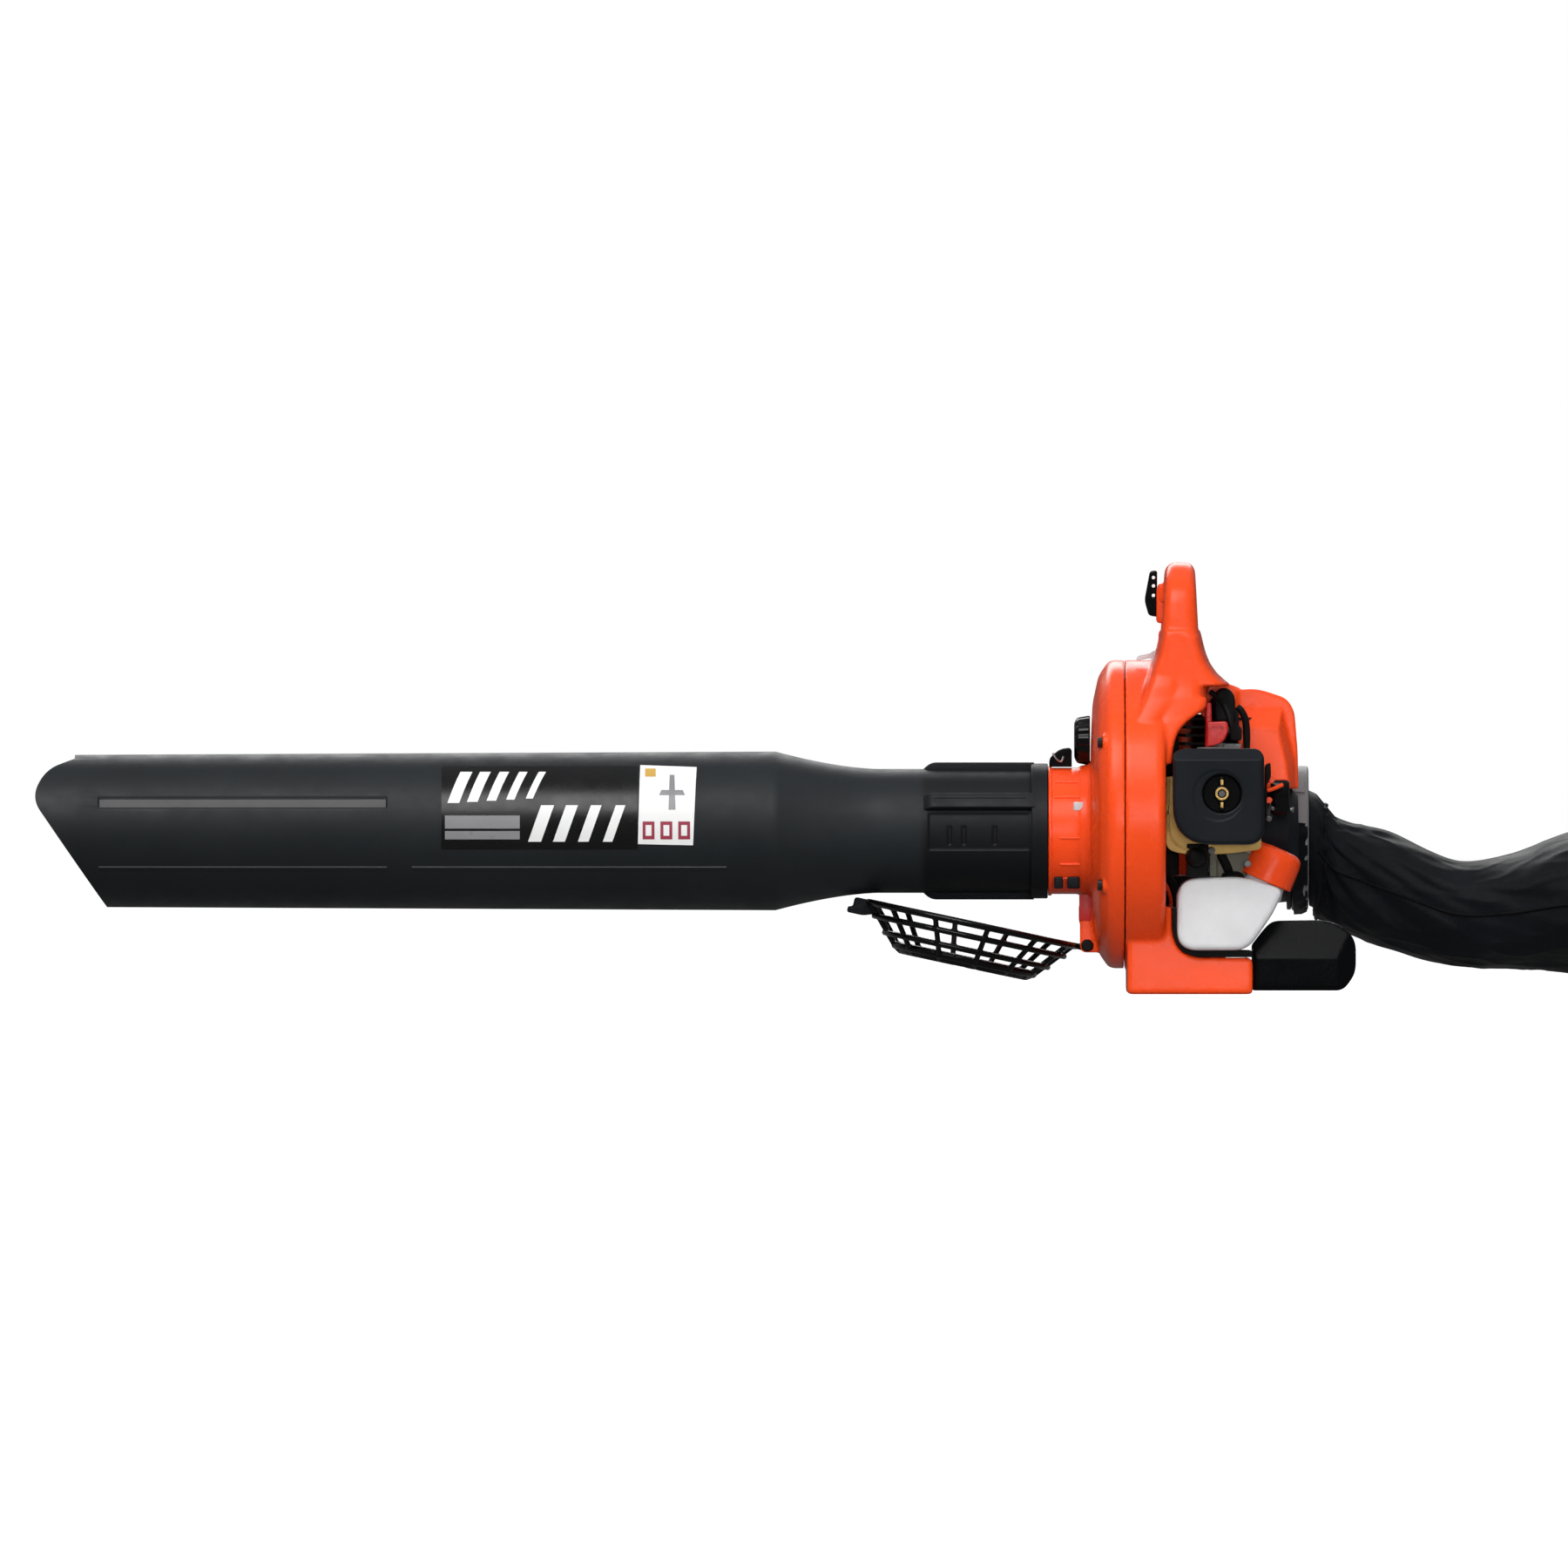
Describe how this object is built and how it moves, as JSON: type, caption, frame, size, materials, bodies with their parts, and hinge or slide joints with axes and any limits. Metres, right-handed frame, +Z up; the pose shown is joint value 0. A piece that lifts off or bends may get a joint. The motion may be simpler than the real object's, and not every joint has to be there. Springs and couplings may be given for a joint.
{
  "type": "leaf vacuum mulcher",
  "caption": "Handheld petrol leaf vacuum and shredder with a long black suction tube, orange fan case and engine cover, hinged inlet grille and woven collection bag.",
  "frame": {"origin": "centre of the underside of the orange stand, on the ground", "axes": "+X from the suction tube towards the bag, along the fan and crank axis; +Y away from the operator; +Z up"},
  "size_m": [1.7304, 0.532, 0.364],
  "materials": {
    "orange": "moulded, satin",
    "tubeBlack": "moulded, fine grain",
    "gloss": "moulded, glossy",
    "satin": "moulded, satin",
    "grey": "moulded, satin",
    "alloy": "cast",
    "steel": "ground",
    "tan": "passivated sheet",
    "tank": "translucent moulding",
    "clear": "clear moulding",
    "rubber": "moulded",
    "foam": "open foam",
    "ceramic": "glazed",
    "fabric": "woven",
    "copper": "moulded phenolic"
  },
  "bodies": {
    "powerhead": {"suction_tube": "tubeBlack", "outlet_elbow": "tubeBlack", "fan_case_front": "orange", "fan_case_rear": "orange", "engine_cover": "orange", "case_screw_1": "steel", "case_screw_2": "steel", "case_screw_3": "steel", "case_screw_4": "steel", "grille_hinge_pin": "steel", "bearing_front": "steel", "bearing_rear": "steel", "muffler": "steel", "recoil_spring": "steel", "trigger_pin": "steel", "lower_handle": "gloss", "tube_lock_block": "gloss", "air_cleaner_cover": "satin", "starter_housing": "satin", "crankcase_front": "alloy", "crankcase_rear": "alloy", "cylinder": "alloy", "carburetor": "alloy", "spark_plug": "ceramic", "spark_plug_boot": "rubber", "ignition_lead": "rubber", "fuel_hose": "rubber", "tank_cushion": "rubber", "throttle_cable": "rubber", "ignition_coil": "copper", "insulator_block": "copper", "intake_plate": "tan", "primer_bulb": "clear", "air_filter_element": "foam", "fuel_tank": "tank", "bag_ring": "grey", "collection_bag": "fabric"},
    "rotor": {"impeller": "alloy", "shredder_blade": "steel", "flywheel": "alloy", "crankshaft_front": "steel", "crankshaft_rear": "steel"},
    "piston": {"piston": "alloy", "piston_pin": "steel", "piston_ring": "steel"},
    "conrod": {"connecting_rod": "steel", "crank_pin": "steel"},
    "trigger": {"throttle_trigger": "gloss"},
    "throttle": {"throttle_shaft_lever": "steel"},
    "control": {"control_lever": "gloss"},
    "choke": {"choke_lever": "satin"},
    "knob": {"cover_knob": "gloss"},
    "cap": {"fuel_cap": "orange"},
    "grille": {"inlet_grille": "gloss", "grille_latch": "satin"},
    "latch": {"latch_knob": "gloss"},
    "pull": {"starter_grip": "gloss", "starter_rope": "fabric"},
    "reel": {"starter_reel": "satin"},
    "slider": {"zipper_slider": "steel"}
  },
  "joints": [
    {"name": "rotor_spin", "type": "hinge", "parent": "powerhead", "child": "rotor", "pos_m": [0, 0, 0.1375], "axis": [1, 0, 0], "continuous": true},
    {"name": "piston_slide", "type": "slide", "parent": "powerhead", "child": "piston", "axis": [0, 0, 1], "range_m": [0, 0.028]},
    {"name": "conrod_swing", "type": "hinge", "parent": "piston", "child": "conrod", "pos_m": [0.024, 0, 0.1755], "axis": [1, 0, 0], "range_deg": [-15.6, 15.6]},
    {"name": "trigger_press", "type": "hinge", "parent": "powerhead", "child": "trigger", "pos_m": [-0.008, 0.059, 0.337], "axis": [1, 0, 0], "range_deg": [-11, 0], "stiffness_Nm_per_rad": 0.5, "springref_deg": 14.32},
    {"name": "throttle_turn", "type": "hinge", "parent": "powerhead", "child": "throttle", "pos_m": [0.024, -0.066, 0.21], "axis": [0, 0, 1], "range_deg": [0, 42]},
    {"name": "control_turn", "type": "hinge", "parent": "powerhead", "child": "control", "pos_m": [-0.032, -0.035, 0.326], "axis": [1, 0, 0], "range_deg": [-25, 40]},
    {"name": "choke_turn", "type": "hinge", "parent": "powerhead", "child": "choke", "pos_m": [0.002, -0.093, 0.194], "axis": [0, 1, 0], "range_deg": [0, 60]},
    {"name": "knob_turn", "type": "hinge", "parent": "powerhead", "child": "knob", "pos_m": [0.0265, -0.118, 0.169], "axis": [0, 1, 0], "range_deg": [0, 90]},
    {"name": "cap_turn", "type": "hinge", "parent": "powerhead", "child": "cap", "pos_m": [0.0625, -0.062, 0.0925], "axis": [0.3987, 0, 0.9171], "range_deg": [0, 120]},
    {"name": "grille_swing", "type": "hinge", "parent": "powerhead", "child": "grille", "pos_m": [-0.086, 0, 0.041], "axis": [0, 1, 0], "range_deg": [-78, 0]},
    {"name": "latch_turn", "type": "hinge", "parent": "powerhead", "child": "latch", "pos_m": [-0.09, 0, 0.214], "axis": [1, 0, 0], "range_deg": [0, 90]},
    {"name": "starter_pull", "type": "slide", "parent": "powerhead", "child": "pull", "axis": [0, -1, 0], "range_m": [0, 0.04], "stiffness_N_per_m": 30, "springref_m": -0.2},
    {"name": "reel_turn", "type": "hinge", "parent": "powerhead", "child": "reel", "pos_m": [0.076, 0, 0.1375], "axis": [1, 0, 0], "range_deg": [0, 82]},
    {"name": "zipper_slide", "type": "slide", "parent": "powerhead", "child": "slider", "axis": [0, -1, 0], "range_m": [0, 0.23]}
  ],
  "couplings": [
    {"joint": "throttle_turn", "follows": "trigger_press", "ratio": -3.75},
    {"joint": "reel_turn", "follows": "starter_pull", "rad_per_m": 35.461}
  ]
}
